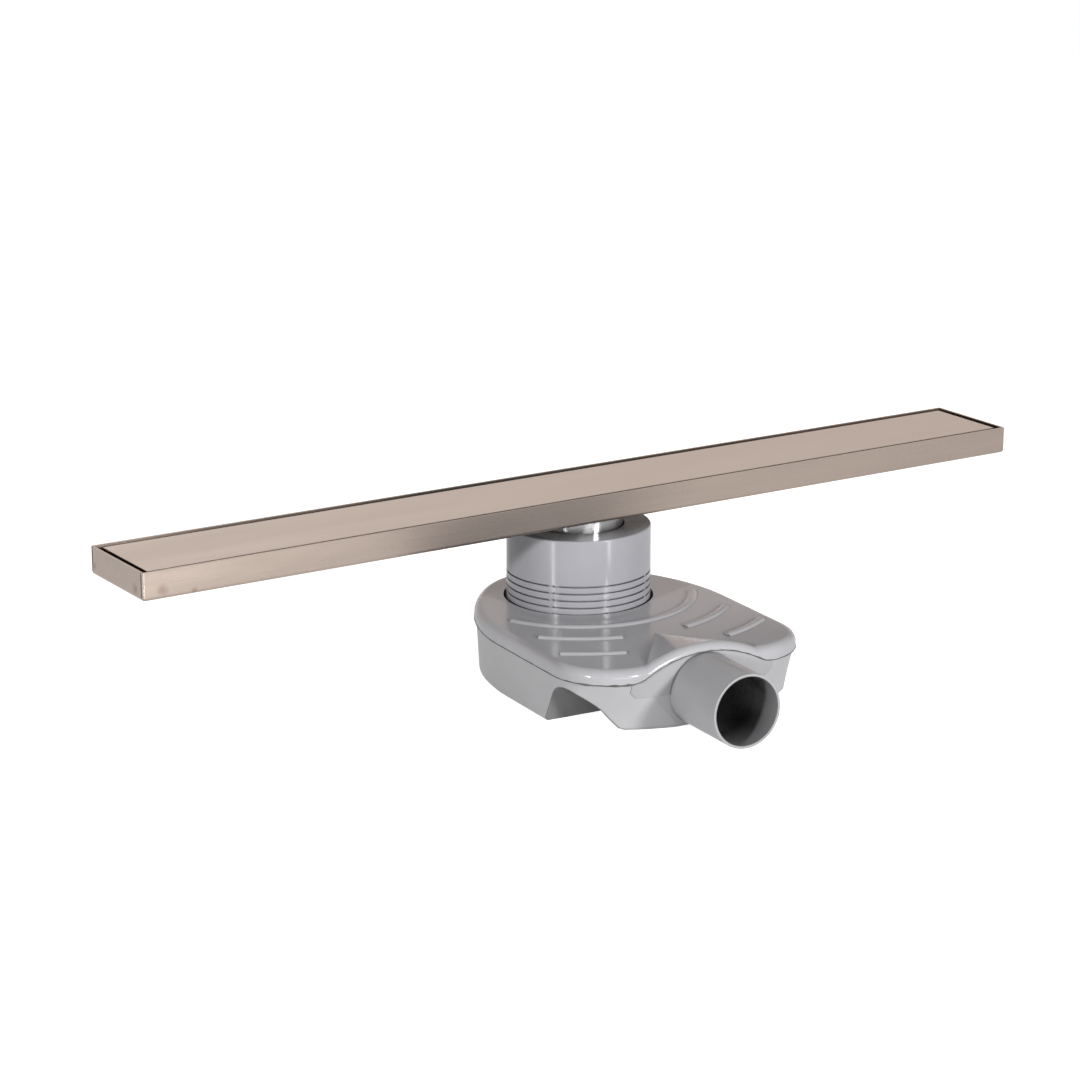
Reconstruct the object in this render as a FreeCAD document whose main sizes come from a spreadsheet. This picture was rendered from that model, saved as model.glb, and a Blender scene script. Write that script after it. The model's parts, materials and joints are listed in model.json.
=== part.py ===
"""Linear shower drain: a stainless channel with a solid cover, standing on a low siphon.

Frame: millimetres, +Z up, origin on the floor under the centre of the neck.
The outlet pipe leaves along -Y. The channel lies along +X, turned a few degrees on the neck.
"""
import FreeCAD, Part
import math
import os
import re
import Sketcher

from FreeCAD import Rotation, Vector

SIZES = {
    # Channel, a tray folded from sheet
    "channel_length": 700,
    "channel_width": 75,
    "channel_height": 19,
    "sheet": 1.5,
    "bend_radius": 2.5,
    "corner_radius": 1.2,
    "rim_level": 126,
    "channel_turn": 3.7,
    "corner_groove": 1,
    # Cover, a flat plate that stands on four folded bridges
    "cover_gap": 4.3,
    "cover_recess": 0.5,
    "cover_thickness": 2,
    "cover_edge": 0.4,
    "bridge_width": 16,
    "bridge_web": 16,
    "bridge_reach": 27,
    "bridge_end_distance": 70,
    "bridge_outlet_distance": 90,
    "pad_thickness": 2,
    "pad_width": 10,
    # Spigot under the channel, and the strainer that hangs in it
    "spigot_radius": 31,
    "spigot_wall": 1.5,
    "spigot_length": 29,
    "strainer_clearance": 0.5,
    "strainer_flange": 34,
    "strainer_depth": 14,
    "strainer_wall": 1.5,
    "strainer_slots": 12,
    "strainer_slot_width": 3,
    "knob_radius": 5,
    "knob_height": 3,
    # Neck, a ribbed tube that slides in the siphon
    "neck_radius": 50,
    "neck_wall": 4,
    "neck_top": 98,
    "neck_bottom": 33,
    "neck_edge": 1.2,
    "neck_deck": 3.5,
    "rib_top": 66.1,
    "rib_pitch": 4.95,
    "rib_grooves": 6,
    "groove_width": 1.2,
    "groove_depth": 2.2,
    "mould_rib": 3,
    "mould_rib_drop": 0.4,
    "mould_rib_turn": 38,
    "collar_clearance": 0.8,
    "collar_wall": 8,
    "collar_length": 20,
    "seal_height": 8,
    "seal_depth": 4,
    "seal_gap": 0.3,
    "seal_lip_top": 5.2,
    "seal_lip_height": 1.2,
    "ring_radius": 1.95,
    "ring_level": 36.8,
    # Siphon shells, welded along the seam
    "wall": 3,
    "seam_level": 37,
    "seam_step": 1.2,
    "deck_rise": 9.5,
    "deck_edge": 6,
    "half_width": 90,
    "back_radius": 69,
    "shoulder_radius": 140,
    "front_reach": 167,
    "seam_corner": 42,
    "nose_run": 6,
    "foot_draft": 3,
    "foot_set_back": 4.5,
    "foot_flat": 18,
    "foot_front": 202,
    "foot_corner": 14,
    "foot_nose": 11,
    "foot_edge": 2.5,
    "socket_radius": 52,
    "socket_bottom": 18,
    "baffle_distance": 80,
    "baffle_bottom": 9,
    "baffle_clearance": 0.8,
    # Tunnel under the weir of the trap, open at the left side
    "tunnel_set_back": 17,
    "tunnel_width": 42,
    "tunnel_top": 30.5,
    "crown_radius": 15.5,
    # Outlet
    "pipe_level": 25.5,
    "pipe_radius": 25,
    "pipe_wall": 1.8,
    "pipe_stub": 52,
    "pipe_shoulder": 1,
    "tail_step": 0.3,
    "tail_clearance": 0.15,
    "arch_top": 51.2,
    "arch_radius": 88,
    "arch_flank": 21.8,
    "panel_chamfer": 4.5,
    "panel_stand": 0.5,
    "lip_radius": 5,
    "bulge_start": 104,
    "bulge_root": 1,
    # Ridges on the deck round the neck, their ends given as angles from the outlet
    "ridge_radius": 4.2,
    "ridge_height": 1.6,
    "inner_ridge": 79,
    "inner_ridge_end": 64,
    "middle_ridge": 105,
    "middle_ridge_start": 13.5,
    "middle_ridge_end": 44,
    "outer_ridge": 137.5,
    "outer_ridge_start": 16.5,
    "outer_ridge_end": 34.5,
}

# How far a cutting form runs on past what it cuts
SPARE = 10

CHANNEL_BOTTOM = "rim_level - channel_height"
COVER_TOP = "rim_level - cover_recess"
BRIDGE_HEIGHT = "channel_height - cover_recess - cover_thickness - sheet - pad_thickness"
DECK_LEVEL = "(seam_level + deck_rise)"
CORNER_START = "(front_reach - seam_corner)"
FOOT_REACH = "(front_reach - foot_set_back)"
FOOT_INSIDE = f"({FOOT_REACH} - foot_edge - wall)"
TUNNEL_FRONT = "(front_reach - tunnel_set_back)"
TUNNEL_REAR = f"({TUNNEL_FRONT} - tunnel_width)"
TAIL_RADIUS = "(pipe_radius - tail_step)"
ARCH_CENTRE = "(arch_top - arch_radius)"
ARCH_HALF = f"sqrt((arch_radius + arch_flank)^2 - (seam_level - {ARCH_CENTRE} + arch_flank)^2)"

doc = FreeCAD.newDocument("ShowerDrain")
sheet = doc.addObject("Spreadsheet::Sheet", "Sizes")
for row, (alias, size) in enumerate(SIZES.items(), start=1):
    sheet.set(f"A{row}", alias)
    sheet.set(f"B{row}", str(size))
    sheet.setAlias(f"B{row}", alias)
doc.recompute()

PLANES = {
    "XY": Rotation(),
    "XZ": Rotation(Vector(1, 0, 0), 90),
    "YZ": Rotation(Vector(1, 1, 1), 120),
}


def bound(expression):
    """The expression with each size's name pointing at its cell."""
    def cell(match):
        name = match.group(0)
        return f"Sizes.{name}" if name in SIZES else name
    return re.sub(r"[a-z_]+", cell, expression)


def number(expression):
    """What an expression in the sizes comes to."""
    result = sheet.evalExpression(expression)
    return float(getattr(result, "Value", result))


def bind(item, target, expression):
    item.setExpression(target, bound(expression))


def free_sketch(name, plane, level="0"):
    """A sketch outside any body. The level runs along the plane's normal axis."""
    sketch = doc.addObject("Sketcher::SketchObject", name)
    sketch.Placement = FreeCAD.Placement(Vector(), PLANES[plane])
    axis = {"XY": "z", "XZ": "y", "YZ": "x"}[plane]
    bind(sketch, f"Placement.Base.{axis}", level)
    return sketch


def body_sketch(body, name, plane="XY", level="0"):
    """A sketch on one of the body's own origin planes, lifted along the plane's normal."""
    sketch = body.newObject("Sketcher::SketchObject", name)
    for feature in body.Origin.OriginFeatures:
        if feature.Role == f"{plane}_Plane":
            sketch.AttachmentSupport = (feature, [""])
    sketch.MapMode = "FlatFace"
    bind(sketch, "AttachmentOffset.Base.z", level)
    return sketch


def outline(sketch, corners, arcs=None):
    """Closed outline through corners given as expressions.

    arcs maps the number of a side to its radius and to 1 where the centre lies to the left
    of the side's direction, or -1 where it lies to the right.
    """
    arcs = arcs or {}
    points = [Vector(number(x), number(y), 0) for x, y in corners]
    ends = []
    for side, start in enumerate(points):
        finish = points[(side + 1) % len(points)]
        if side not in arcs:
            edge = sketch.addGeometry(Part.LineSegment(start, finish))
            ends.append((edge, 1, 2))
            continue
        radius, hand = arcs[side]
        size = number(radius)
        chord = finish - start
        across = Vector(-chord.y, chord.x, 0).normalize() * hand
        rise = math.sqrt(size ** 2 - (chord.Length / 2) ** 2)
        middle = (start + finish) * 0.5
        crown = middle + across * (rise - size)
        if hand > 0:
            edge = sketch.addGeometry(Part.Arc(start, crown, finish))
            ends.append((edge, 1, 2))
        else:
            edge = sketch.addGeometry(Part.Arc(finish, crown, start))
            ends.append((edge, 2, 1))
        rule = sketch.addConstraint(Sketcher.Constraint("Radius", edge, size))
        bind(sketch, f"Constraints[{rule}]", radius)
    for side, (edge, first, last) in enumerate(ends):
        following, begin, _ = ends[(side + 1) % len(ends)]
        sketch.addConstraint(Sketcher.Constraint("Coincident", edge, last, following, begin))
        for kind, expression in zip(("DistanceX", "DistanceY"), corners[side]):
            rule = sketch.addConstraint(
                Sketcher.Constraint(kind, -1, 1, edge, first, number(expression)))
            bind(sketch, f"Constraints[{rule}]", expression)
    return sketch


def rectangle(sketch, left, right, bottom, top):
    return outline(sketch, [(left, bottom), (right, bottom), (right, top), (left, top)])


def circle(sketch, radius):
    """A circle round the sketch's origin."""
    edge = sketch.addGeometry(Part.Circle(Vector(), Vector(0, 0, 1), number(radius)))
    sketch.addConstraint(Sketcher.Constraint("Coincident", edge, 3, -1, 1))
    rule = sketch.addConstraint(Sketcher.Constraint("Radius", edge, number(radius)))
    bind(sketch, f"Constraints[{rule}]", radius)
    return sketch


def new_body(name):
    body = doc.addObject("PartDesign::Body", name)
    body.Label = name
    return body


def pad(body, sketch, length, both_ways=False):
    feature = body.newObject("PartDesign::Pad", f"{sketch.Name}_pad")
    feature.Profile = sketch
    bind(feature, "Length", length)
    feature.Midplane = both_ways
    sketch.Visibility = False
    return feature


def pocket(body, sketch, length):
    """A pocket that cuts towards the normal of its sketch."""
    feature = body.newObject("PartDesign::Pocket", f"{sketch.Name}_pocket")
    feature.Profile = sketch
    feature.Reversed = True
    bind(feature, "Length", length)
    return feature


def turned(body, sketch, kind="Revolution"):
    """The sketch turned once round its own upright axis, added or cut away."""
    feature = body.newObject(f"PartDesign::{kind}", f"{sketch.Name}_turned")
    feature.Profile = sketch
    feature.ReferenceAxis = (sketch, ["V_Axis"])
    feature.Angle = 360
    return feature


def rounded(body, base, radius, chosen):
    """Round the edges of a feature for which chosen(edge) holds."""
    doc.recompute()
    names = [f"Edge{place}" for place, edge in enumerate(base.Shape.Edges, start=1) if chosen(edge)]
    feature = body.newObject("PartDesign::Fillet", f"{base.Name}_round")
    feature.Base = (base, names)
    bind(feature, "Radius", radius)
    return feature


def at_level(level):
    """Test for edges that lie flat at a level."""
    height = number(level)

    def chosen(edge):
        box = edge.BoundBox
        return abs(box.ZMin - height) < 1e-4 and abs(box.ZMax - height) < 1e-4
    return chosen


def upright(edge):
    return edge.BoundBox.ZLength > max(edge.BoundBox.XLength, edge.BoundBox.YLength)


def turn_with_channel(body, level):
    """Every piece of the channel is drawn square, lifted to its level and turned with it."""
    bind(body, "Placement.Base.z", level)
    bind(body, "Placement.Rotation.Angle", "channel_turn")
    return body


def channel_trough():
    body = turn_with_channel(new_body("channel_trough"), CHANNEL_BOTTOM)
    blank = rectangle(body_sketch(body, "trough_blank"), "-channel_length / 2", "channel_length / 2",
                      "-channel_width / 2", "channel_width / 2")
    block = pad(body, blank, "channel_height")
    corners = rounded(body, block, "corner_radius", upright)
    rounded(body, corners, "bend_radius", at_level("0"))
    inside = rectangle(body_sketch(body, "trough_inside", level="sheet"),
                       "-channel_length / 2 + sheet", "channel_length / 2 - sheet",
                       "-channel_width / 2 + sheet", "channel_width / 2 - sheet")
    tray = pocket(body, inside, "channel_height")
    rounded(body, tray, "bend_radius - sheet", at_level("sheet"))
    hole = circle(body_sketch(body, "trough_outlet"), "spigot_radius - spigot_wall")
    pocket(body, hole, "2 * sheet")
    for name, side in (("left", -1), ("right", 1)):
        for edge, way in (("front", -1), ("back", 1)):
            groove = corner_groove(body, f"groove_{name}_{edge}", side, way)
            pocket(body, groove, "channel_height")
    return body


def corner_groove(body, name, side, way):
    """Open joint between an end wall and a side wall, drawn above the bend."""
    ends = (f"{side} * (channel_length / 2 - 2 * sheet / 3)", f"{side} * (channel_length / 2 + {SPARE})")
    edges = (f"{way} * (channel_width / 2 - sheet - corner_groove)",
             f"{way} * (channel_width / 2 - sheet)")
    left, right = ends if side > 0 else ends[::-1]
    bottom, top = edges if way > 0 else edges[::-1]
    return rectangle(body_sketch(body, name, level="bend_radius"), left, right, bottom, top)


def outlet_spigot():
    body = turn_with_channel(new_body("outlet_spigot"), f"{CHANNEL_BOTTOM} - spigot_length")
    ring = circle(body_sketch(body, "spigot_ring"), "spigot_radius")
    circle(ring, "spigot_radius - spigot_wall")
    pad(body, ring, "spigot_length")
    return body


def cover_plate():
    body = turn_with_channel(new_body("cover_plate"), f"{COVER_TOP} - cover_thickness")
    half_length = "(channel_length / 2 - sheet - cover_gap)"
    half_width = "(channel_width / 2 - sheet - cover_gap)"
    blank = rectangle(body_sketch(body, "cover_blank"), f"-{half_length}", half_length,
                      f"-{half_width}", half_width)
    plate = pad(body, blank, "cover_thickness")
    rounded(body, plate, "cover_edge", at_level("cover_thickness"))
    return body


BRIDGE_PLACES = [
    "-channel_length / 2 + bridge_end_distance",
    "-bridge_outlet_distance",
    "bridge_outlet_distance",
    "channel_length / 2 - bridge_end_distance",
]


def cover_bridge(count, place):
    """Folded hat strip across the channel, welded under the cover."""
    body = turn_with_channel(new_body(f"cover_bridge_{count}"),
                             f"{CHANNEL_BOTTOM} + sheet + pad_thickness")
    web, reach, height = "bridge_web", "bridge_reach", f"({BRIDGE_HEIGHT})"
    hat = outline(body_sketch(body, f"bridge_hat_{count}", "YZ", place), [
        (f"-{reach}", "0"), (f"-{web} + sheet", "0"),
        (f"-{web} + sheet", f"{height} - sheet"), (f"{web} - sheet", f"{height} - sheet"),
        (f"{web} - sheet", "0"), (reach, "0"), (reach, "sheet"), (web, "sheet"),
        (web, height), (f"-{web}", height), (f"-{web}", "sheet"), (f"-{reach}", "sheet")])
    pad(body, hat, "bridge_width", both_ways=True)
    return body


def cover_pad(count, place, side):
    """Rubber pad under one foot of a bridge."""
    body = turn_with_channel(new_body(f"cover_pad_{count}"), f"{CHANNEL_BOTTOM} + sheet")
    near = f"{side} * (bridge_reach - pad_width)"
    far = f"{side} * bridge_reach"
    low, high = (near, far) if side > 0 else (far, near)
    blank = rectangle(body_sketch(body, f"pad_blank_{count}"), f"{place} - bridge_width / 2",
                      f"{place} + bridge_width / 2", low, high)
    pad(body, blank, "pad_thickness")
    return body


def hair_strainer():
    """Slotted cup with a flange and a finger knob, moulded in one."""
    body = turn_with_channel(new_body("hair_strainer"), f"{CHANNEL_BOTTOM} + sheet")
    outside = "(spigot_radius - spigot_wall - strainer_clearance)"
    cup = outline(body_sketch(body, "strainer_section", "XZ"), [
        ("0", "-strainer_depth"), (outside, "-strainer_depth"), (outside, "0"),
        ("strainer_flange", "0"), ("strainer_flange", "strainer_wall"),
        (f"{outside} - strainer_wall", "strainer_wall"),
        (f"{outside} - strainer_wall", "strainer_wall - strainer_depth"),
        ("knob_radius", "strainer_wall - strainer_depth"),
        ("knob_radius", "knob_height"), ("0", "knob_height")])
    turned(body, cup)
    slot = rectangle(body_sketch(body, "strainer_slot", level=f"-strainer_depth - {SPARE}"),
                     "2 * knob_radius", f"{outside} - 3 * strainer_wall",
                     "-strainer_slot_width / 2", "strainer_slot_width / 2")
    first = pocket(body, slot, f"strainer_wall + {SPARE}")
    ring = body.newObject("PartDesign::PolarPattern", "strainer_slot_ring")
    ring.Originals = [first]
    ring.Axis = (slot, ["N_Axis"])
    ring.Angle = 360
    bind(ring, "Occurrences", "strainer_slots")
    body.Tip = ring
    return body


def neck():
    """Ribbed tube with a flat deck and a collar that holds the spigot's seal."""
    body = new_body("neck")
    inside = "neck_radius - neck_wall"
    bore = "spigot_radius + collar_clearance"
    collar = "spigot_radius + collar_wall"
    seat = "spigot_radius + seal_depth + seal_gap"
    seal_low = "neck_top - neck_deck - seal_height"
    tube = outline(body_sketch(body, "neck_section", "XZ"), [
        (inside, "neck_bottom"), ("neck_radius", "neck_bottom"), ("neck_radius", "neck_top"),
        (bore, "neck_top"), (bore, "neck_top - neck_deck"), (seat, "neck_top - neck_deck"),
        (seat, seal_low), (bore, seal_low), (bore, "neck_top - collar_length"),
        (collar, "neck_top - collar_length"), (collar, "neck_top - neck_deck"),
        (inside, "neck_top - neck_deck")])
    shell = turned(body, tube)
    top = number("neck_top")
    rim = 2 * math.pi * number("neck_radius")
    rounded(body, shell, "neck_edge",
            lambda edge: abs(edge.BoundBox.ZMin - top) < 1e-4 and abs(edge.Length - rim) < 1e-2)
    ring_groove = rectangle(body_sketch(body, "ring_groove", "XZ"), "neck_radius - groove_depth",
                            f"neck_radius + {SPARE}", "ring_level - ring_radius - seal_gap",
                            "ring_level + ring_radius + seal_gap")
    turned(body, ring_groove, "Groove")
    groove = rectangle(body_sketch(body, "rib_groove", "XZ"), "neck_radius - groove_depth",
                       f"neck_radius + {SPARE}", "rib_top - groove_width", "rib_top")
    first = turned(body, groove, "Groove")
    column = body.newObject("PartDesign::LinearPattern", "rib_grooves_pattern")
    column.Originals = [first]
    column.Direction = (groove, ["V_Axis"])
    column.Reversed = True
    bind(column, "Length", "rib_pitch * (rib_grooves - 1)")
    bind(column, "Occurrences", "rib_grooves")
    body.Tip = column
    low = "rib_top - rib_pitch * (rib_grooves - 1) - groove_width"
    bar = rectangle(body_sketch(body, "mould_rib", level=low), "neck_radius - groove_depth - mould_rib_drop",
                    "neck_radius - mould_rib_drop", "-mould_rib / 2", "mould_rib / 2")
    bind(bar, "AttachmentOffset.Rotation.Angle", "mould_rib_turn")
    rib = pad(body, bar, f"rib_top - ({low})")
    ring = body.newObject("PartDesign::PolarPattern", "mould_rib_ring")
    ring.Originals = [rib]
    ring.Axis = (groove, ["V_Axis"])
    ring.Angle = 360
    ring.Occurrences = 4
    body.Tip = ring
    return body


def spigot_seal():
    """Lip seal in the neck's collar, just clear of the spigot at rest."""
    body = new_body("spigot_seal")
    bind(body, "Placement.Base.z", "neck_top - neck_deck - seal_height")
    back = "spigot_radius + seal_depth + seal_gap"
    lip = "spigot_radius + seal_gap"
    thin = "spigot_radius + seal_depth / 2"
    section = outline(body_sketch(body, "seal_section", "XZ"), [
        (thin, "0"), (back, "0"), (back, "seal_height"), (thin, "seal_height"),
        (lip, "seal_lip_top"), (lip, "seal_lip_top - seal_lip_height"),
        (thin, "seal_lip_top - 2 * seal_lip_height")])
    turned(body, section)
    return body


def neck_seal():
    """Rubber ring in the lowest groove of the neck."""
    ring = doc.addObject("Part::Torus", "neck_seal")
    bind(ring, "Radius1", "neck_radius - groove_depth + ring_radius")
    bind(ring, "Radius2", "ring_radius")
    bind(ring, "Placement.Base.z", "ring_level")
    return ring


def shell_outline(sketch, inset, foot=False):
    """Plan outline of the siphon at the seam or at the foot, moved inwards by inset."""
    draft = f"(foot_draft + {inset})" if foot else f"({inset})"
    half = f"(half_width - {draft})"
    back = f"(back_radius - {draft})"
    shoulder = f"(shoulder_radius - {draft})"
    span = f"({shoulder} - {back})"
    centre_x = f"({half} - {shoulder})"
    drop = f"sqrt({span}^2 - {centre_x}^2)"
    join_x = f"-{centre_x} * {back} / {span}"
    join_y = f"{drop} * {back} / {span}"
    bend = f"(foot_corner - {inset})" if foot else f"(seam_corner - {inset})"
    if foot:
        flat, reach, sweep = "foot_flat", FOOT_REACH, f"foot_front - {inset}"
        rise = f"(foot_nose - {inset} / 2)"
    else:
        flat, reach, sweep = "(half_width - seam_corner)", "front_reach", bend
        rise = f"sqrt({bend}^2 - ({bend} - nose_run)^2)"
    front = f"-({reach} - {inset})"
    nose = (f"{half} - nose_run", f"-{CORNER_START} - {rise}")
    return outline(sketch, [
        (f"-{flat}", front), (flat, front), nose, (half, f"-{CORNER_START}"), (half, f"-{drop}"),
        (join_x, join_y), (f"{centre_x} * {back} / {span}", join_y), (f"-{half}", f"-{drop}"),
        (f"-{half}", f"-{CORNER_START}"), (f"nose_run - {half}", nose[1])],
        {1: (sweep, 1), 2: (bend, 1), 4: (shoulder, 1), 5: (back, 1), 6: (shoulder, 1),
         8: (bend, 1), 9: (sweep, 1)})


def lower_form(name, inset, bottom):
    """The drafted lower half of the siphon as one closed form, with a bevelled foot."""
    body = new_body(name)
    sole = shell_outline(body_sketch(body, f"{name}_sole", level=bottom), f"({inset} + foot_edge)",
                         foot=True)
    foot = shell_outline(body_sketch(body, f"{name}_foot", level=f"{bottom} + foot_edge"), inset,
                         foot=True)
    seam = shell_outline(body_sketch(body, f"{name}_seam", level="seam_level"),
                         f"({inset} + seam_step)")
    loft = body.newObject("PartDesign::AdditiveLoft", f"{name}_loft")
    loft.Profile = sole
    loft.Sections = [foot, seam]
    loft.Ruled = True
    return body


def upper_form(name, inset, height, edge=None):
    """The upper half of the siphon under its flat deck, with a rounded edge."""
    body = new_body(name)
    plan = shell_outline(body_sketch(body, f"{name}_plan", level="seam_level"), inset)
    block = pad(body, plan, height)
    if edge:
        rounded(body, block, edge, at_level(f"seam_level + {height}"))
    return body


def front_prism():
    """The space in front of the weir that the outlet's panel fills, up to the arch."""
    share = "(arch_radius / (arch_radius + arch_flank))"
    join_x = f"({ARCH_HALF} * {share})"
    join_z = f"({ARCH_CENTRE} + (seam_level - {ARCH_CENTRE} + arch_flank) * {share})"
    shape = outline(free_sketch("panel_face", "XZ", f"-front_reach - {SPARE}"), [
        (f"panel_chamfer - {ARCH_HALF}", "pipe_level"), (f"{ARCH_HALF} - panel_chamfer", "pipe_level"),
        (ARCH_HALF, "pipe_level + panel_chamfer"), (ARCH_HALF, "seam_level"),
        (join_x, join_z), (f"-{join_x}", join_z), (f"-{ARCH_HALF}", "seam_level"),
        (f"-{ARCH_HALF}", "pipe_level + panel_chamfer")],
        {3: ("arch_flank", -1), 4: ("arch_radius", 1), 5: ("arch_flank", -1)})
    return extruded(shape, "0", f"{SPARE} + 2 * lip_radius")


def extruded(sketch, forward, backward):
    solid = doc.addObject("Part::Extrusion", f"{sketch.Name}_prism")
    solid.Base = sketch
    solid.DirMode = "Normal"
    solid.Solid = True
    bind(solid, "LengthFwd", forward)
    bind(solid, "LengthRev", backward)
    return solid


def tunnel(name, skin, right_end):
    """Tunnel under the weir, from outside the left wall to its right end, grown by a skin."""
    centre_y = f"(crown_radius - {TUNNEL_FRONT})"
    centre_z = "(tunnel_top - crown_radius)"
    across = "(tunnel_width - crown_radius)"
    slope = f"(asin(crown_radius / sqrt({across}^2 + {centre_z}^2)) + atan({centre_z} / {across}))"
    radius = f"(crown_radius + {skin})"
    foot_y = f"({skin} / sin({slope}) - {TUNNEL_REAR})"
    run = f"({foot_y} - {centre_y})"
    far = f"({run}^2 + {centre_z}^2)"
    tangent = f"sqrt({far} - {radius}^2)"
    join_y = f"{centre_y} + {radius} * ({radius} * {run} + {tangent} * {centre_z}) / {far}"
    join_z = f"{centre_z} + {radius} * ({tangent} * {run} - {radius} * {centre_z}) / {far}"
    front = f"-({TUNNEL_FRONT} + {skin})"
    shape = outline(free_sketch(name, "YZ"), [
        (front, f"-{SPARE}"), (foot_y, f"-{SPARE}"), (foot_y, "0"), (join_y, join_z),
        (front, centre_z)], {3: (radius, 1)})
    return extruded(shape, right_end, f"half_width + {SPARE}")


def combined(kind, name, base, tool):
    result = doc.addObject(f"Part::{kind}", name)
    result.Base = base
    result.Tool = tool
    return result


def fused(name, shapes):
    result = doc.addObject("Part::MultiFuse", name)
    result.Shapes = shapes
    return result


def cylinder(name, radius, height, level="0"):
    solid = doc.addObject("Part::Cylinder", name)
    bind(solid, "Radius", radius)
    bind(solid, "Height", height)
    bind(solid, "Placement.Base.z", level)
    return solid


def lying_cylinder(name, radius, inner_end, outer_end):
    """A cylinder on the pipe's axis, along -Y."""
    solid = doc.addObject("Part::Cylinder", name)
    solid.Placement.Rotation = PLANES["XZ"]
    bind(solid, "Radius", radius)
    bind(solid, "Height", f"{outer_end} - ({inner_end})")
    bind(solid, "Placement.Base.y", f"-({inner_end})")
    bind(solid, "Placement.Base.z", "pipe_level")
    return solid


def ridge(name, distance, start, finish):
    """Low rounded ridge on the deck, round the neck, between two angles from the outlet."""
    bar = doc.addObject("Part::Torus", name)
    bind(bar, "Radius1", distance)
    bind(bar, "Radius2", "ridge_radius")
    bind(bar, "Angle3", f"{finish} - ({start})")
    bar.Placement.Rotation = Rotation(Vector(0, 0, 1), number(start) - 90)
    bind(bar, "Placement.Base.z", f"{DECK_LEVEL} + ridge_height - ridge_radius")
    return bar


def ridges():
    """One ridge right round the front of the neck, then two pairs beside the bulge."""
    bars = [ridge("inner_ridge", "inner_ridge", "-inner_ridge_end", "inner_ridge_end")]
    for ring in ("middle_ridge", "outer_ridge"):
        start, finish = f"{ring}_start", f"{ring}_end"
        bars.append(ridge(f"{ring}_left", ring, f"-{finish}", f"-{start}"))
        bars.append(ridge(f"{ring}_right", ring, start, finish))
    return bars


def bulge(name, drop):
    """Half cone on the deck that rises from its tip to the lip over the outlet."""
    tip = doc.addObject("Part::Vertex", f"{name}_tip")
    bind(tip, "Y", "-bulge_start")
    bind(tip, "Z", f"{DECK_LEVEL} - {drop}")
    radius = "(arch_radius + lip_radius)"
    top = f"(arch_top + lip_radius - {drop})"
    low = f"(seam_level + bulge_root - {drop})"
    half = f"sqrt({radius}^2 - ({radius} - {top} + {low})^2)"
    section = outline(free_sketch(f"{name}_section", "XZ", "lip_radius - front_reach"), [
        (f"-{half}", low), (half, low)], {1: (radius, 1)})
    cone = doc.addObject("Part::Loft", name)
    cone.Sections = [tip, section]
    cone.Solid = True
    cone.Ruled = True
    return cone


def lip():
    """Rolled edge of the deck where it arches over the outlet."""
    tube = doc.addObject("Part::Torus", "lip_tube")
    half_angle = math.degrees(math.asin(number(f"{ARCH_HALF} / arch_radius")))
    bind(tube, "Radius1", "arch_radius")
    bind(tube, "Radius2", "lip_radius")
    tube.Angle3 = 2 * half_angle
    tube.Placement.Rotation = PLANES["XZ"] * Rotation(Vector(0, 0, 1), 90 - half_angle)
    bind(tube, "Placement.Base.y", "lip_radius - front_reach")
    bind(tube, "Placement.Base.z", ARCH_CENTRE)
    above = doc.addObject("Part::Box", "lip_space")
    bind(above, "Length", "2 * half_width")
    bind(above, "Width", "4 * lip_radius")
    bind(above, "Height", "arch_top")
    bind(above, "Placement.Base.x", "-half_width")
    bind(above, "Placement.Base.y", "-front_reach - lip_radius")
    bind(above, "Placement.Base.z", "seam_level")
    return combined("Common", "lip", tube, above)


def baffle():
    """Wall that hangs from the deck into the water before the weir."""
    low = "(half_width - foot_draft - wall - baffle_clearance)"
    high = "(half_width - seam_step - wall - baffle_clearance)"
    bevel = "(2 - sqrt(2)) * (deck_edge - wall)"
    roof = f"{DECK_LEVEL} - wall"
    plate = outline(free_sketch("baffle_plate", "XZ", "-baffle_distance"), [
        (f"-{low}", "baffle_bottom"), (low, "baffle_bottom"), (high, "seam_level"),
        (high, f"{roof} - {bevel}"), (f"{high} - {bevel}", roof),
        (f"{bevel} - {high}", roof), (f"-{high}", f"{roof} - {bevel}"),
        (f"-{high}", "seam_level")])
    return extruded(plate, "wall", "0")


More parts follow.
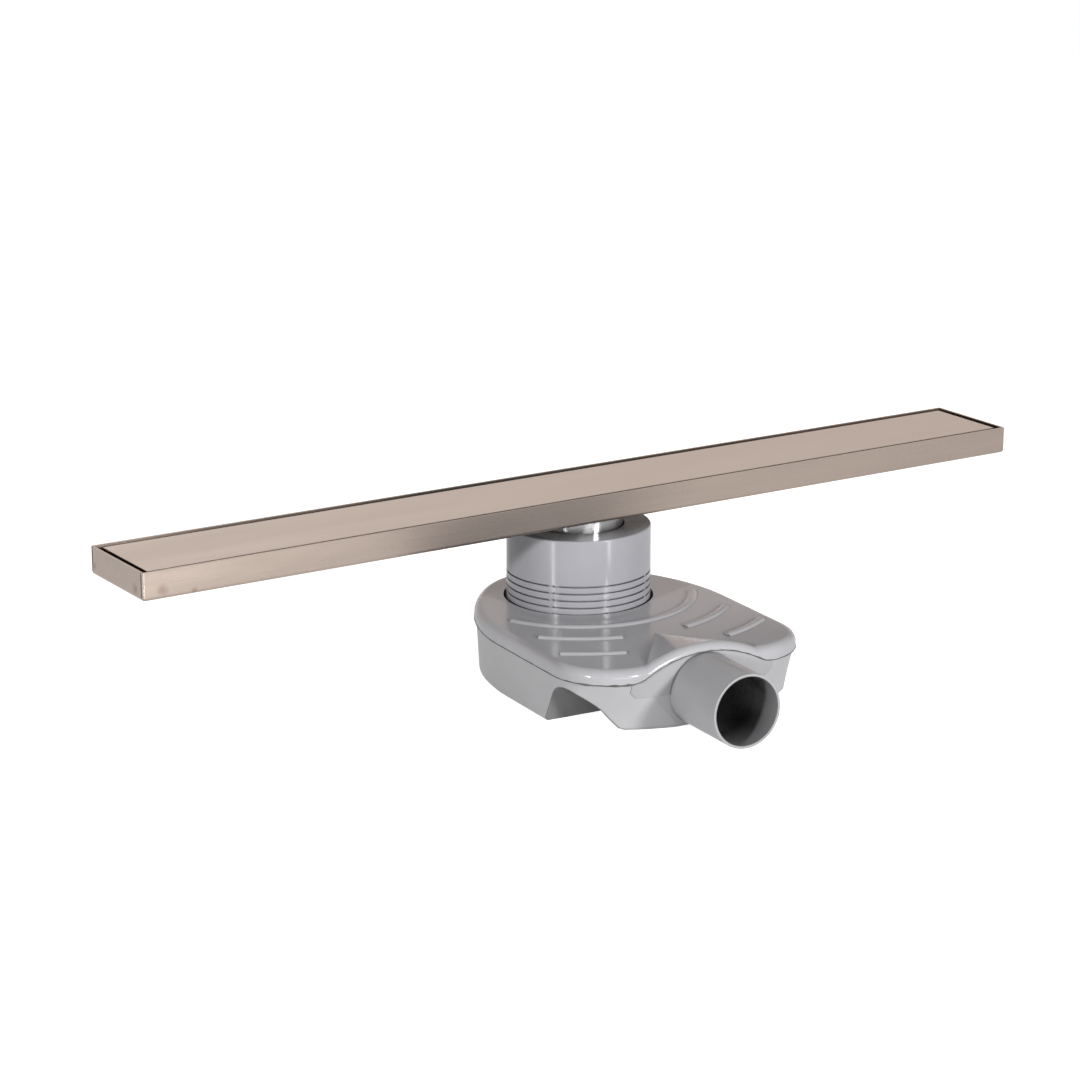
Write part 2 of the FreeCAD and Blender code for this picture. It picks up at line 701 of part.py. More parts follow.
def siphon():
    """The two shells and the outlet pipe, cut from one envelope along the seam."""
    lower_body = lower_form("lower_blank", "0", "0")
    lower_space = lower_form("lower_space", "wall", "wall")
    upper_body = upper_form("upper_blank", "0", "deck_rise", "deck_edge")
    upper_space = upper_form("upper_space", "wall", "(deck_rise - wall)", "deck_edge - wall")
    prism = front_prism()

    across = f"half_width + {SPARE}"
    weir = tunnel("weir_skin", "wall", across)
    water = combined("Cut", "lower_water", lower_space, weir)
    shell = combined("Cut", "lower_shell", lower_body, water)
    behind_wall = combined("Common", "tunnel_behind_wall", tunnel("whole_tunnel", "0", across),
                           lower_form("tunnel_space", "wall", "0"))
    hollow_weir = fused("hollow_weir", [tunnel("left_tunnel", "0", "0"), behind_wall])
    open_shell = combined("Cut", "open_shell", shell, hollow_weir)
    notched = combined("Cut", "notched_shell", open_shell, prism)
    saddle = lying_cylinder("pipe_saddle", f"{TAIL_RADIUS} + tail_clearance",
                            f"{FOOT_INSIDE} - tail_clearance", f"front_reach + {SPARE}")
    base = combined("Cut", "siphon_base", notched, saddle)

    crown = fused("crown", [upper_body, bulge("bulge", "0"), lip()] + ridges())
    hollow = fused("upper_water", [upper_space, bulge("bulge_space", "wall"), prism])
    hood = combined("Cut", "hood", crown, hollow)
    socket_wall = cylinder("socket_wall", "socket_radius + wall",
                           f"{DECK_LEVEL} - wall / 2 - socket_bottom", "socket_bottom")
    socket = cylinder("socket", "socket_radius", f"{DECK_LEVEL} - socket_bottom + 2 * {SPARE}",
                      f"socket_bottom - {SPARE}")
    skirt = fused("hood_with_socket", [hood, socket_wall, baffle()])
    top = combined("Cut", "siphon_top", skirt, socket)

    tall = upper_form("tall_blank", "(seam_step - panel_stand)", f"(arch_top + {SPARE} - seam_level)")
    tall_space = upper_form("tall_space", "(seam_step + wall)",
                            f"(arch_top + 2 * {SPARE} - seam_level)")
    low_block = lower_form("low_blank", "(-panel_stand)", "0")
    wall_block = fused("front_block", [low_block, tall])
    wall_space = fused("front_space", [lower_space, tall_space])
    front_wall = combined("Cut", "front_wall", wall_block, wall_space)
    panel = combined("Common", "outlet_panel", front_wall, prism)
    tail = lying_cylinder("outlet_tail", TAIL_RADIUS, FOOT_INSIDE, "front_reach + pipe_shoulder")
    tube = lying_cylinder("outlet_tube", "pipe_radius", "front_reach + pipe_shoulder",
                          "front_reach + pipe_stub")
    flanged = fused("flanged_tube", [panel, tail, tube])
    bore = lying_cylinder("outlet_bore", "pipe_radius - pipe_wall", f"{FOOT_INSIDE} - {SPARE}",
                          f"front_reach + pipe_stub + {SPARE}")
    pipe = combined("Cut", "outlet_pipe", flanged, bore)
    return [top, base, pipe]


def build():
    pieces = [channel_trough(), outlet_spigot(), cover_plate(), hair_strainer()]
    for count, place in enumerate(BRIDGE_PLACES, start=1):
        pieces.append(cover_bridge(count, place))
        pieces.append(cover_pad(2 * count - 1, place, -1))
        pieces.append(cover_pad(2 * count, place, 1))
    pieces += [neck(), spigot_seal(), neck_seal()]
    pieces += siphon()
    doc.recompute()
    return pieces


def export(pieces):
    failed = [item.Name for item in doc.Objects if {"Invalid", "Error"} & set(item.State)]
    if failed:
        raise RuntimeError(f"failed features: {failed}")
    for piece in pieces:
        if piece.Shape.isNull() or not piece.Shape.isValid():
            raise RuntimeError(f"{piece.Label} has no valid shape")
    os.makedirs("parts", exist_ok=True)
    for piece in pieces:
        piece.Shape.exportStep(f"parts/{piece.Label}.step")
        box = piece.Shape.BoundBox
        print(f"{piece.Label}: {len(piece.Shape.Solids)} solid, {piece.Shape.Volume / 1000:.1f} cm3, "
              f"z {box.ZMin:.1f} to {box.ZMax:.1f}")


export(build())
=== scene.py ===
"""Studio view of a linear shower drain: materials, fine detail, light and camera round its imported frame.

Metres, +Z up, origin on the floor under the neck. The outlet pipe leaves along -Y.
"""
import json
import math

import bpy
from mathutils import Matrix, Vector
from mathutils.bvhtree import BVHTree


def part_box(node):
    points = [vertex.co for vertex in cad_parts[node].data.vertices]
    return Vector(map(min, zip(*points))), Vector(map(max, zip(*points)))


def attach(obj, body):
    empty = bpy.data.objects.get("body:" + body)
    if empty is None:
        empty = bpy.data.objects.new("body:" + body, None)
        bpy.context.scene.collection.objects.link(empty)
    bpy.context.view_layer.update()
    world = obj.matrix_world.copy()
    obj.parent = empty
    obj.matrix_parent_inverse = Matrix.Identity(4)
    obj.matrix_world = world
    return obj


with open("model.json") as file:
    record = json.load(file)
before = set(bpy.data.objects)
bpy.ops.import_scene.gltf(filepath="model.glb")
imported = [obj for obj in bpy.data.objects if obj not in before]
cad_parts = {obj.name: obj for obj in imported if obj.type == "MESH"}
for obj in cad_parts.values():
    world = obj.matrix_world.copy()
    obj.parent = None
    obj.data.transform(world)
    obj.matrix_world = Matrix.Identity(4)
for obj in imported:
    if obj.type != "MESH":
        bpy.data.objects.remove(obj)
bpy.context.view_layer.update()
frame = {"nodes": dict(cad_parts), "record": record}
mounts = {mount["name"]: mount for mount in frame["record"]["mounts"]}

# The camera: without roll, looking down at the drain from the left of the outlet. Its lens and sensor are in
# millimetres.
CAMERA_PLACE = Vector((-1.06727, -1.87438, 0.7005))
CAMERA_HEADING = math.radians(28.95)
CAMERA_DIP = math.radians(15.93)
CAMERA_LENS = 108.1
CAMERA_SENSOR = 36
CAMERA_NEAR = 0.01
CAMERA_FAR = 50

# The channel's turn on its neck, and the direction across its brushing, on level and upright faces alike
CHANNEL_TURN = math.radians(3.7)
ACROSS_BRUSHING = (-math.sin(CHANNEL_TURN), math.cos(CHANNEL_TURN), 1)

# Noise keeps near its middle, so materials spread out this part of it, or the wider one
NOISE_NARROW = (0.35, 0.65)
NOISE_WIDE = (0.3, 0.7)

# How far roughness goes either way with the noise
FINER = 0.03
COARSER = 0.04

# Painted shade in crevices: how open the surroundings of a point are where it counts as shut in, and where it
# counts as free
CREVICE_SHUT = 0.35
CREVICE_FREE = 0.95
CREVICE_SHADE_COLOUR = (0.012, 0.011, 0.010, 1)
CREVICE_SAMPLES = 6
EDGE_SAMPLES = 4

# Brushed steel: noise scales of its scratches and clouds, along, across and up the channel
STROKE_SCALE = (9, 1900, 1900)
CLOUD_SCALE = (7, 45, 45)
STROKE_DEPTH = 0.0002
STEEL_EDGE_RADIUS = 0.0004
BRUSHED_ANISOTROPY = 0.92
# Painted shade in the gaps round the cover and in the corner slit: its reach, strength and brown colour
GAP_REACH = 0.006
GAP_SHADE = 0.9
GAP_SHADE_COLOUR = (0.03, 0.018, 0.012, 1)

# Painted dark reflection on the channel over the left of the neck: its middle, and how far off it starts to
# fade and ends
DARK_REFLECTION_MIDDLE = -0.055
DARK_REFLECTION_CORE = 0.02
DARK_REFLECTION_REACH = 0.14
DARK_REFLECTION_STRENGTH = 0.45
DARK_REFLECTION_COLOUR = (0.1, 0.1, 0.105, 1)

# Faint smudges near the channel's left end: place along, across and up the channel, and radius
SMUDGES = (
    ((-0.350, -0.0265, 0.1135), 0.0050),
    ((-0.350, 0.0320, 0.1140), 0.0030),
    ((-0.314, -0.0375, 0.1095), 0.0025),
    ((-0.336, -0.0375, 0.1130), 0.0050),
)
SMUDGE_GRAIN = 400
SMUDGE_STRENGTH = 0.75
SMUDGE_THINNEST = 0.3
SMUDGE_COLOUR = (0.16, 0.09, 0.06, 1)

# Moulded plastic: the flow in its tone, and the waves in its surface
FLOW_SCALE = 22
FLOW_TONE = 0.95
WAVE_SCALE = 30
WAVE_DEPTH = 0.004
PLASTIC_EDGE_RADIUS = 0.0005
PLASTIC_IOR = 1.5
PLASTIC_GLOSS = 0.26
# Reach of the painted shade in the plastic's grooves
GROOVE_REACH = 0.0016

# The neck's top, down to RIM_DEPTH, lies in the shade of the channel
RIM_DEPTH = 0.0015
RIM_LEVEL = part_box("neck")[1].z - RIM_DEPTH
RIM_SHADE = 0.8
RIM_SHADE_REACH = 0.016

# The outlet pipe: the height of its axis, its mouth, and a radius just outside its bore
PIPE_LEVEL = mounts["outlet"]["pos_m"][2]
PIPE_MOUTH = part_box("outlet_pipe")[0].y
PIPE_BORE = 0.0236

# The shade in the bore grows from just outside the mouth to a place inside
BORE_OUTER = PIPE_MOUTH - 0.003
BORE_OUTER_SHADE = 0.3
BORE_INNER = PIPE_MOUTH + 0.029
BORE_INNER_SHADE = 0.95
BORE_COLOUR = (0.012, 0.012, 0.012, 1)

# The tunnel under the weir: its crown's centre (y, z) and radius, the slope from its foot, its blind end, and
# how far its mask reaches past its faces
TUNNEL_CROWN = (-0.1345, 0.015)
TUNNEL_CROWN_RADIUS = 0.0155
TUNNEL_FOOT = -0.108
TUNNEL_LEAN = math.radians(60.1)
TUNNEL_END = 0.0475
TUNNEL_MARGIN = 0.0005
TUNNEL_SHADE = 0.6
TUNNEL_COLOUR = (0.02, 0.02, 0.02, 1)

# The siphon's seam is found by level rays towards an upright line at SEAM_MIDDLE. Their heights are in tenths
# of a millimetre, and the lip is what stands out to within LIP_DEPTH of the widest point.
SEAM_STEPS = 300
SEAM_MIDDLE = -0.045
SEAM_LEVELS = range(300, 680, 2)
TENTHS_PER_METRE = 10000
RAY_LENGTH = 0.3
LIP_DEPTH = 0.0022

# The bead of flash along the seam, coloured dark as painted shade under the upper shell's lip. Its waves are
# rates and starts in radians, and its lumps are placed and sized in steps round the seam.
SEAM_SHADE_DARK = (0.03, 0.028, 0.026, 1)
SEAM_SHADE_PALE = (0.10, 0.095, 0.09, 1)
BEAD_RADIUS = 0.00036
BEAD_ROUNDNESS = 2
BEAD_DROP = 0.0002
BEAD_SWAY = 0.00005
BEAD_SWELL = 0.16
BEAD_WAVES = ((1.7, 0.0), (0.73, 1.0), (4.1, 0.0))
LUMP_STEPS = (194, 201, 204)
LUMP_SWELL = 1.3
LUMP_WIDTH = 1.2

# The floor: its tones, the glow added where it is seen, and the share of that glow in reflections
FLOOR_SIZE = 14
FLOOR_DARK = (0.80, 0.80, 0.80, 1)
FLOOR_PALE = (0.82, 0.82, 0.82, 1)
FLOOR_GLOW = 0.8
FLOOR_GLOSS = 0.4

SKY_COLOUR = (0.97, 0.98, 1.0, 1)
SKY_LEVEL = 0.2
CARD_COLOUR = (0.85, 0.72, 0.66, 1)
WHITE = (1, 1, 1, 1)

# Lamps: level directions from the neck to the two by the camera, what lamps and card face, and the height of
# the strips that make the streaks
LEFT_LAMP = Vector((-0.909, -0.417, 0))
RIGHT_LAMP = Vector((0.267, -0.964, 0))
LAMP_AIM = (0, -0.05, 0.06)
CARD_AIM = (0, 0, 0.1)
STRIP_HEIGHT = 0.12


class Tree:
    """The node tree of a material or a world, with short calls to add and join nodes."""

    def __init__(self, holder, output="OutputMaterial"):
        self.holder = holder
        holder.use_nodes = True
        self.nodes = holder.node_tree.nodes
        self.nodes.clear()
        self.output = self.add(output)

    def join(self, source, target):
        self.holder.node_tree.links.new(source, target)

    def add(self, kind, inputs=None, **settings):
        """A new node. Each input is set to a value, or joined where the value is another node's output."""
        node = self.nodes.new("ShaderNode" + kind)
        for key, value in settings.items():
            setattr(node, key, value)
        for key, value in (inputs or {}).items():
            if isinstance(value, bpy.types.NodeSocket):
                self.join(value, node.inputs[key])
            else:
                node.inputs[key].default_value = value
        return node

    def maths(self, operation, first, second=0.0, third=0.0):
        return self.add("Math", {0: first, 1: second, 2: third}, operation=operation).outputs[0]

    def spot(self):
        """The shaded point's place in the object's own metres."""
        return self.add("TexCoord").outputs["Object"]

    def spot_parts(self):
        """The shaded point's place, as outputs named X, Y and Z."""
        return self.add("SeparateXYZ", {0: self.spot()}).outputs

    def place(self, turn=0.0, scale=(1, 1, 1)):
        """The shaded point's place, turned about Z and then scaled."""
        turned = self.add("Mapping", {"Vector": self.spot(), "Rotation": (0, 0, -turn)})
        return self.add("Mapping", {"Vector": turned.outputs[0], "Scale": scale}).outputs[0]

    def noise(self, where, scale, detail=2.0, roughness=0.5):
        inputs = {"Vector": where, "Scale": scale, "Detail": detail, "Roughness": roughness}
        return self.add("TexNoise", inputs).outputs["Fac"]

    def range(self, value, low, high, to_low, to_high, curve="LINEAR"):
        inputs = {"Value": value, "From Min": low, "From Max": high, "To Min": to_low, "To Max": to_high}
        return self.add("MapRange", inputs, interpolation_type=curve).outputs[0]

    def stretched(self, noise):
        """Noise spread over the whole of 0 to 1."""
        return self.range(noise, *NOISE_NARROW, 0.0, 1.0)

    def uneven(self, roughness, noise):
        """A roughness that noise makes a little finer or coarser."""
        return self.range(noise, *NOISE_WIDE, roughness - FINER, roughness + COARSER)

    def in_circle(self, first, second, radius):
        """1 where a point's two distances from a circle's centre put it inside, and 0 outside."""
        square = self.maths("ADD", self.maths("POWER", first, 2), self.maths("POWER", second, 2))
        return self.maths("LESS_THAN", square, radius ** 2)

    def between(self, share, first, second):
        """A colour mixed from two by share."""
        return self.add("Mix", {0: share, 6: first, 7: second}, data_type="RGBA").outputs[2]

    def rounded(self, radius):
        """Normals that show sharp edges as rounded."""
        return self.add("Bevel", {"Radius": radius}, samples=EDGE_SAMPLES).outputs[0]

    def bump(self, height, strength, distance, normal=None):
        inputs = {"Height": height, "Strength": strength, "Distance": distance}
        if normal:
            inputs["Normal"] = normal
        return self.add("Bump", inputs).outputs[0]

    def crevice_shade(self, tone, reach, strength, own_only=True, dark=CREVICE_SHADE_COLOUR):
        """Tone darkened with painted shade where faces stand close, as in seams, gaps and grooves."""
        view = self.add("AmbientOcclusion", {"Distance": reach}, samples=CREVICE_SAMPLES, only_local=own_only)
        free_share = self.range(view.outputs["AO"], CREVICE_SHUT, CREVICE_FREE, 1 - strength, 1.0)
        return self.between(free_share, dark, tone)

    def show(self, shader):
        """Join the shader to the tree's end, and give back the finished material or world."""
        self.join(shader.outputs[0], self.output.inputs["Surface"])
        return self.holder

    def surface(self, **inputs):
        """The finished material. Spaces in an input's name are written as underscores."""
        named = {key.replace("_", " "): value for key, value in inputs.items()}
        return self.show(self.add("BsdfPrincipled", named))


def new_material(name):
    return Tree(bpy.data.materials.new(name))


def grey(level):
    return (level, level, level, 1)


def shaded(colour, share):
    return tuple(part * share for part in colour[:3]) + (1,)


def smudge_share(tree):
    """How much of the smudges' colour shows, ragged at their edges."""
    where = tree.spot()
    grain = tree.noise(where, SMUDGE_GRAIN, detail=3.0)
    ragged = tree.range(grain, *NOISE_WIDE, SMUDGE_THINNEST, 1.0)
    share = 0.0
    for place, radius in SMUDGES:
        centre = Matrix.Rotation(CHANNEL_TURN, 3, "Z") @ Vector(place)
        away = tree.add("VectorMath", {0: where, 1: centre}, operation="DISTANCE").outputs["Value"]
        share = tree.maths("MAXIMUM", share, tree.range(away, 0.0, radius, SMUDGE_STRENGTH, 0.0))
    return tree.maths("MULTIPLY", share, ragged)


def channel_reflection_and_smudges(tree, tone):
    """Tone with a painted dark reflection over the neck and the smudges near the left end."""
    away = tree.maths("ABSOLUTE", tree.maths("SUBTRACT", tree.spot_parts()["X"], DARK_REFLECTION_MIDDLE))
    share = tree.range(away, DARK_REFLECTION_CORE, DARK_REFLECTION_REACH, DARK_REFLECTION_STRENGTH, 0.0, curve="SMOOTHSTEP")
    tone = tree.between(share, tone, DARK_REFLECTION_COLOUR)
    return tree.between(smudge_share(tree), tone, SMUDGE_COLOUR)


def brushed_steel(name, colour, roughness, grain, contrast, reflection_and_smudges=None):
    """Sheet brushed along the channel: long fine scratches, and cloudy patches along them."""
    tree = new_material(name)
    strokes = tree.noise(tree.place(CHANNEL_TURN, STROKE_SCALE), scale=1.0, detail=3.0, roughness=0.7)
    clouds = tree.noise(tree.place(CHANNEL_TURN, CLOUD_SCALE), scale=1.0, detail=3.0)
    share = tree.maths("MULTIPLY_ADD", strokes, 0.5, tree.maths("MULTIPLY", clouds, 0.5))
    tone = tree.between(tree.stretched(share), shaded(colour, 1 - contrast), colour)
    # The channel's smudges and its painted dark reflection
    if reflection_and_smudges:
        tone = reflection_and_smudges(tree, tone)
    # Painted shade where the sheet stands close to other parts, as in the gaps round the cover
    tone = tree.crevice_shade(tone, GAP_REACH, GAP_SHADE, own_only=False, dark=GAP_SHADE_COLOUR)
    tangent = tree.add("CombineXYZ", dict(enumerate(ACROSS_BRUSHING))).outputs[0]
    normal = tree.bump(strokes, grain, STROKE_DEPTH, tree.rounded(STEEL_EDGE_RADIUS))
    return tree.surface(Base_Color=tone, Metallic=1.0, Roughness=tree.uneven(roughness, clouds),
                        Anisotropic=BRUSHED_ANISOTROPY, Tangent=tangent, Normal=normal)


def bore_shade(tree, tone):
    """Tone darkened inside the outlet pipe, the more the farther in."""
    parts = tree.spot_parts()
    inside = tree.in_circle(tree.maths("SUBTRACT", parts["Z"], PIPE_LEVEL), parts["X"], PIPE_BORE)
    depth = tree.range(parts["Y"], BORE_OUTER, BORE_INNER, BORE_OUTER_SHADE, BORE_INNER_SHADE)
    return tree.between(tree.maths("MULTIPLY", inside, depth), tone, BORE_COLOUR)


def tunnel_share(tree):
    """1 on the faces inside the tunnel, found by its profile, and 0 elsewhere."""
    parts = tree.spot_parts()
    across = tree.maths("SUBTRACT", parts["Y"], TUNNEL_CROWN[0])
    rise = tree.maths("SUBTRACT", parts["Z"], TUNNEL_CROWN[1])
    under_crown = tree.in_circle(across, rise, TUNNEL_CROWN_RADIUS + TUNNEL_MARGIN)
    low = tree.maths("LESS_THAN", rise, 0.0)
    slope_top = tree.maths("LESS_THAN", rise, TUNNEL_CROWN_RADIUS / 2)
    rear = tree.maths("MULTIPLY", slope_top, tree.maths("GREATER_THAN", across, 0.0))
    share = tree.maths("MAXIMUM", tree.maths("MAXIMUM", under_crown, low), rear)
    from_foot = tree.maths("SUBTRACT", parts["Y"], TUNNEL_FOOT)
    behind = tree.maths("MULTIPLY", from_foot, math.sin(TUNNEL_LEAN))
    past_slope = tree.maths("MULTIPLY_ADD", parts["Z"], math.cos(TUNNEL_LEAN), behind)
    for within in (tree.maths("LESS_THAN", past_slope, TUNNEL_MARGIN),
                   tree.maths("GREATER_THAN", across, -TUNNEL_CROWN_RADIUS - TUNNEL_MARGIN),
                   tree.maths("LESS_THAN", parts["X"], TUNNEL_END)):
        share = tree.maths("MULTIPLY", share, within)
    return share


def tunnel_shade(tree, tone):
    """Tone darkened inside the tunnel."""
    share = tree.maths("MULTIPLY", tunnel_share(tree), TUNNEL_SHADE)
    return tree.between(share, tone, TUNNEL_COLOUR)


def rim_shade(tree, tone):
    """Tone darkened on the neck's top, where the channel stands close over it."""
    above = tree.maths("GREATER_THAN", tree.spot_parts()["Z"], RIM_LEVEL)
    shade = tree.crevice_shade(tone, RIM_SHADE_REACH, RIM_SHADE, own_only=False)
    return tree.between(above, tone, shade)


def moulded_plastic(name, colour, roughness, waviness=0.04, groove_shade=0.85, shade=None):
    """Glossy moulded plastic, not quite flat, with a faint flow in its tone."""
    tree = new_material(name)
    where = tree.place()
    flow = tree.noise(where, FLOW_SCALE, detail=3.0)
    tone = tree.between(tree.stretched(flow), shaded(colour, FLOW_TONE), colour)
    # Painted shade in grooves, seams and other close corners of the plastic
    tone = tree.crevice_shade(tone, GROOVE_REACH, groove_shade)
    if shade:
        tone = shade(tree, tone)
    waves = tree.noise(where, WAVE_SCALE, detail=0.0)
    normal = tree.bump(waves, waviness, WAVE_DEPTH, tree.rounded(PLASTIC_EDGE_RADIUS))
    return tree.surface(Base_Color=tone, Roughness=tree.uneven(roughness, flow), IOR=PLASTIC_IOR,
                        Specular_IOR_Level=PLASTIC_GLOSS, Normal=normal)


def black_rubber():
    tree = new_material("black_rubber")
    grain = tree.noise(tree.place(), scale=2500)
    tone = tree.between(grain, grey(0.012), grey(0.035))
    normal = tree.bump(grain, strength=0.2, distance=0.0002)
    return tree.surface(Base_Color=tone, Roughness=0.7, Normal=normal)


# Painted shade: the seam's bead is dark for the shadow under the upper shell's lip
def seam_flash_and_shade():
    tree = new_material("seam_flash_and_shade")
    tone = tree.between(tree.noise(tree.place(), scale=900), SEAM_SHADE_DARK, SEAM_SHADE_PALE)
    return tree.surface(Base_Color=tone, Roughness=0.4)


def channel_steel():
    return brushed_steel("brushed_channel", colour=(0.49, 0.405, 0.35, 1), roughness=0.27, grain=0.04,
                         contrast=0.12, reflection_and_smudges=channel_reflection_and_smudges)


def cover_steel():
    return brushed_steel("brushed_cover", colour=(0.50, 0.42, 0.365, 1), roughness=0.34, grain=0.03,
                         contrast=0.04)


def spigot_steel():
    return brushed_steel("drawn_tube", colour=(0.68, 0.68, 0.69, 1), roughness=0.2, grain=0.1,
                         contrast=0.1)


def neck_plastic():
    return moulded_plastic("neck_plastic", colour=(0.295, 0.295, 0.315, 1), roughness=0.15, waviness=0.02,
                           groove_shade=0.5, shade=rim_shade)


def upper_shell_plastic():
    return moulded_plastic("siphon_shell", colour=(0.37, 0.365, 0.38, 1), roughness=0.16)


def lower_shell_plastic():
    return moulded_plastic("siphon_base_shell", colour=(0.385, 0.38, 0.39, 1), roughness=0.3,
                           shade=tunnel_shade)


def pipe_plastic():
    return moulded_plastic("pipe_plastic", colour=(0.34, 0.335, 0.345, 1), roughness=0.24, waviness=0.02,
                           shade=bore_shade)


def strainer_plastic():
    return moulded_plastic("strainer_plastic", colour=(0.2, 0.2, 0.21, 1), roughness=0.4)


def dress_nodes():
    """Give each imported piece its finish."""
    cover = cover_steel()
    rubber = black_rubber()
    finishes = {
        "channel_trough": channel_steel(),
        "outlet_spigot": spigot_steel(),
        "cover_plate": cover,
        "hair_strainer": strainer_plastic(),
        "neck": neck_plastic(),
        "siphon_top": upper_shell_plastic(),
        "siphon_base": lower_shell_plastic(),
        "outlet_pipe": pipe_plastic(),
    }
    for name, piece in frame["nodes"].items():
        if name.startswith("cover_bridge"):
            finish = cover
        elif name.startswith("cover_pad") or name.endswith("_seal"):
            finish = rubber
        else:
            finish = finishes[name]
        piece.data.materials.clear()
        piece.data.materials.append(finish)


def seam_point(shell, faces, outward):
    """The lowest point of the shell's lip on one side, found by level rays from outside."""
    inverse = shell.matrix_world.inverted()
    column = []
    for level in SEAM_LEVELS:
        centre = Vector((0, SEAM_MIDDLE, level / TENTHS_PER_METRE))
        start = inverse @ (centre + outward * RAY_LENGTH)
        hit = faces.ray_cast(start, inverse.to_3x3() @ -outward, RAY_LENGTH)[0]
        if hit is not None:
            place = shell.matrix_world @ hit
            column.append(((place - centre).length, place))
    widest = max(reach for reach, _ in column)
    return next(place for reach, place in column if reach > widest - LIP_DEPTH)


def seam_points():
    """The lower outer edge of the upper shell, from all round."""
    shell = frame["nodes"]["siphon_top"]
    faces = BVHTree.FromObject(shell, bpy.context.evaluated_depsgraph_get())
    angles = [2 * math.pi * step / SEAM_STEPS for step in range(SEAM_STEPS)]
    return [seam_point(shell, faces, Vector((math.cos(angle), math.sin(angle), 0))) for angle in angles]


def seam_bead():
    """Thin line of flash where the two shells meet, with a few lumps at the front, dark with painted shade.
    """
    places = seam_points()
    data = bpy.data.curves.new("seam_bead", "CURVE")
    data.dimensions = "3D"
    data.bevel_depth = BEAD_RADIUS
    data.bevel_resolution = BEAD_ROUNDNESS
    spline = data.splines.new("POLY")
    spline.points.add(len(places) - 1)
    spline.use_cyclic_u = True
    for step, (point, place) in enumerate(zip(spline.points, places)):
        wobble = sum(math.sin(step * rate + start) for rate, start in BEAD_WAVES)
        lump = sum(LUMP_SWELL * math.exp(-((step - at) / LUMP_WIDTH) ** 2) for at in LUMP_STEPS)
        point.co = (*(place + Vector((0, 0, BEAD_SWAY * wobble - BEAD_DROP))), 1)
        point.radius = 1 + BEAD_SWELL * wobble + lump
    bead = bpy.data.objects.new("seam_bead", data)
    bpy.context.scene.collection.objects.link(bead)
    data.materials.append(seam_flash_and_shade())
    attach(bead, "siphon")


def seen_share(tree, gloss):
    """1 for camera rays and those let through, gloss for reflected ones, 0 for those that only light."""
    rays = tree.add("LightPath").outputs
    reflected = tree.maths("MULTIPLY", rays["Is Glossy Ray"], gloss)
    seen = tree.maths("MAXIMUM", rays["Is Camera Ray"], reflected)
    return tree.maths("MAXIMUM", seen, rays["Is Transmission Ray"])


def pale_floor():
    """Matte, and lit up to white where it is seen."""
    tree = new_material("pale_floor")
    tone = tree.between(tree.noise(tree.place(), scale=300, detail=3.0), FLOOR_DARK, FLOOR_PALE)
    matte = tree.add("BsdfDiffuse", {"Color": tone}).outputs[0]
    glow = tree.add("Emission", {"Color": WHITE, "Strength": FLOOR_GLOW}).outputs[0]
    lit = tree.add("AddShader", {0: matte, 1: glow}).outputs[0]
    return tree.show(tree.add("MixShader", {0: seen_share(tree, FLOOR_GLOSS), 1: matte, 2: lit}))


def studio_floor():
    bpy.ops.mesh.primitive_plane_add(size=FLOOR_SIZE)
    floor = bpy.context.object
    floor.name = "floor"
    floor.data.materials.append(pale_floor())


def studio_world():
    """White where it is seen, in gloss too, and a plain pale sky for the light."""
    world = bpy.data.worlds.new("studio")
    bpy.context.scene.world = world
    tree = Tree(world, "OutputWorld")
    sky = tree.add("Background", {"Color": SKY_COLOUR, "Strength": SKY_LEVEL}).outputs[0]
    white = tree.add("Background", {"Color": WHITE}).outputs[0]
    tree.show(tree.add("MixShader", {0: seen_share(tree, 1.0), 1: sky, 2: white}))


def facing(place, target, front):
    """The turn that points an object's front axis from its place to the target."""
    return (Vector(target) - Vector(place)).to_track_quat(front, "Y").to_euler()


def lamp_place(direction, distance, height):
    """The place that far from the neck in a level direction, and that high over the floor."""
    return direction * distance + Vector((0, 0, height))


def area_light(name, place, width, height, power, target=LAMP_AIM):
    data = bpy.data.lights.new(name, "AREA")
    data.shape = "RECTANGLE"
    data.size = width
    data.size_y = height
    data.energy = power
    lamp = bpy.data.objects.new(name, data)
    bpy.context.scene.collection.objects.link(lamp)
    lamp.location = place
    lamp.rotation_euler = facing(place, target, "-Z")
    lamp.visible_camera = False
    return lamp


def strip_light(name, direction, distance, width, power, receivers):
    """Upright strip that stands on the floor and only shows in gloss, as a streak down the neck."""
    place = lamp_place(direction, distance, STRIP_HEIGHT / 2)
    strip = area_light(name, place, width, STRIP_HEIGHT, power, target=(0, 0, STRIP_HEIGHT / 2))
    strip.visible_diffuse = False
    strip.light_linking.receiver_collection = receivers


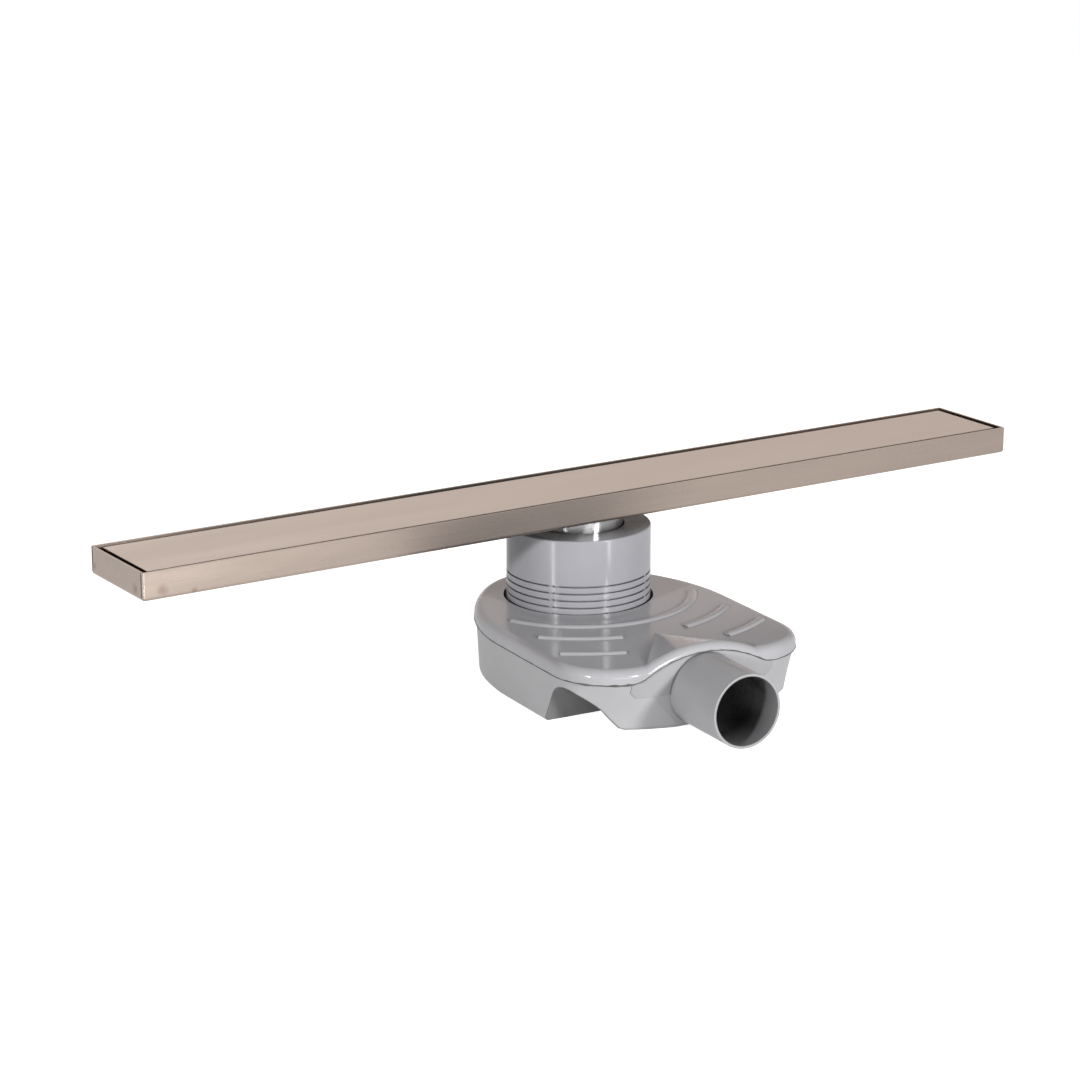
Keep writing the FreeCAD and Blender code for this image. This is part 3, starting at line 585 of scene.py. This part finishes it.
def warm_card(place, width, height):
    """Glowing board behind the drain that only its gloss shows, as a warm tint."""
    bpy.ops.mesh.primitive_plane_add(size=1)
    card = bpy.context.object
    card.name = "back_card"
    card.scale = (width, height, 1)
    card.location = place
    card.rotation_euler = facing(place, CARD_AIM, "Z")
    card.visible_camera = False
    card.visible_shadow = False
    card.visible_diffuse = False
    tree = new_material("back_card")
    card.data.materials.append(tree.show(tree.add("Emission", {"Color": CARD_COLOUR})))


def studio_lights():
    """Two lamps by the camera, a low wide one, one behind, two strips for the neck alone, and a warm card."""
    key_place = lamp_place(LEFT_LAMP, distance=2.2, height=0.69)
    fill_place = lamp_place(RIGHT_LAMP, distance=5, height=1.3)
    area_light("key_left", key_place, width=0.16, height=0.16, power=28)
    area_light("fill_right", fill_place, width=0.6, height=0.6, power=215)
    area_light("low_front", place=(-0.3, -2.3, 0.22), width=1.2, height=0.35, power=13)
    back = area_light("back_soft", place=(1.1, 2.0, 0.35), width=1.4, height=0.6, power=30)
    back.visible_glossy = False
    neck_only = bpy.data.collections.new("streaked")
    neck_only.objects.link(frame["nodes"]["neck"])
    strip_light("left_strip", LEFT_LAMP, distance=0.21, width=0.012, power=0.075, receivers=neck_only)
    strip_light("right_strip", RIGHT_LAMP, distance=0.26, width=0.014, power=0.11, receivers=neck_only)
    warm_card(place=(0.9, 1.7, 0.45), width=3.4, height=0.9)


def studio_camera():
    data = bpy.data.cameras.new("camera")
    data.lens = CAMERA_LENS
    data.sensor_width = CAMERA_SENSOR
    data.clip_start = CAMERA_NEAR
    data.clip_end = CAMERA_FAR
    camera = bpy.data.objects.new("camera", data)
    bpy.context.scene.collection.objects.link(camera)
    tilt = Matrix.Rotation(math.pi / 2 - CAMERA_DIP, 4, "X")
    heading = Matrix.Rotation(-CAMERA_HEADING, 4, "Z")
    camera.matrix_world = Matrix.Translation(CAMERA_PLACE) @ heading @ tilt
    bpy.context.scene.camera = camera


dress_nodes()
seam_bead()
studio_floor()
studio_world()
studio_lights()
studio_camera()
bpy.context.scene.view_settings.view_transform = "Standard"
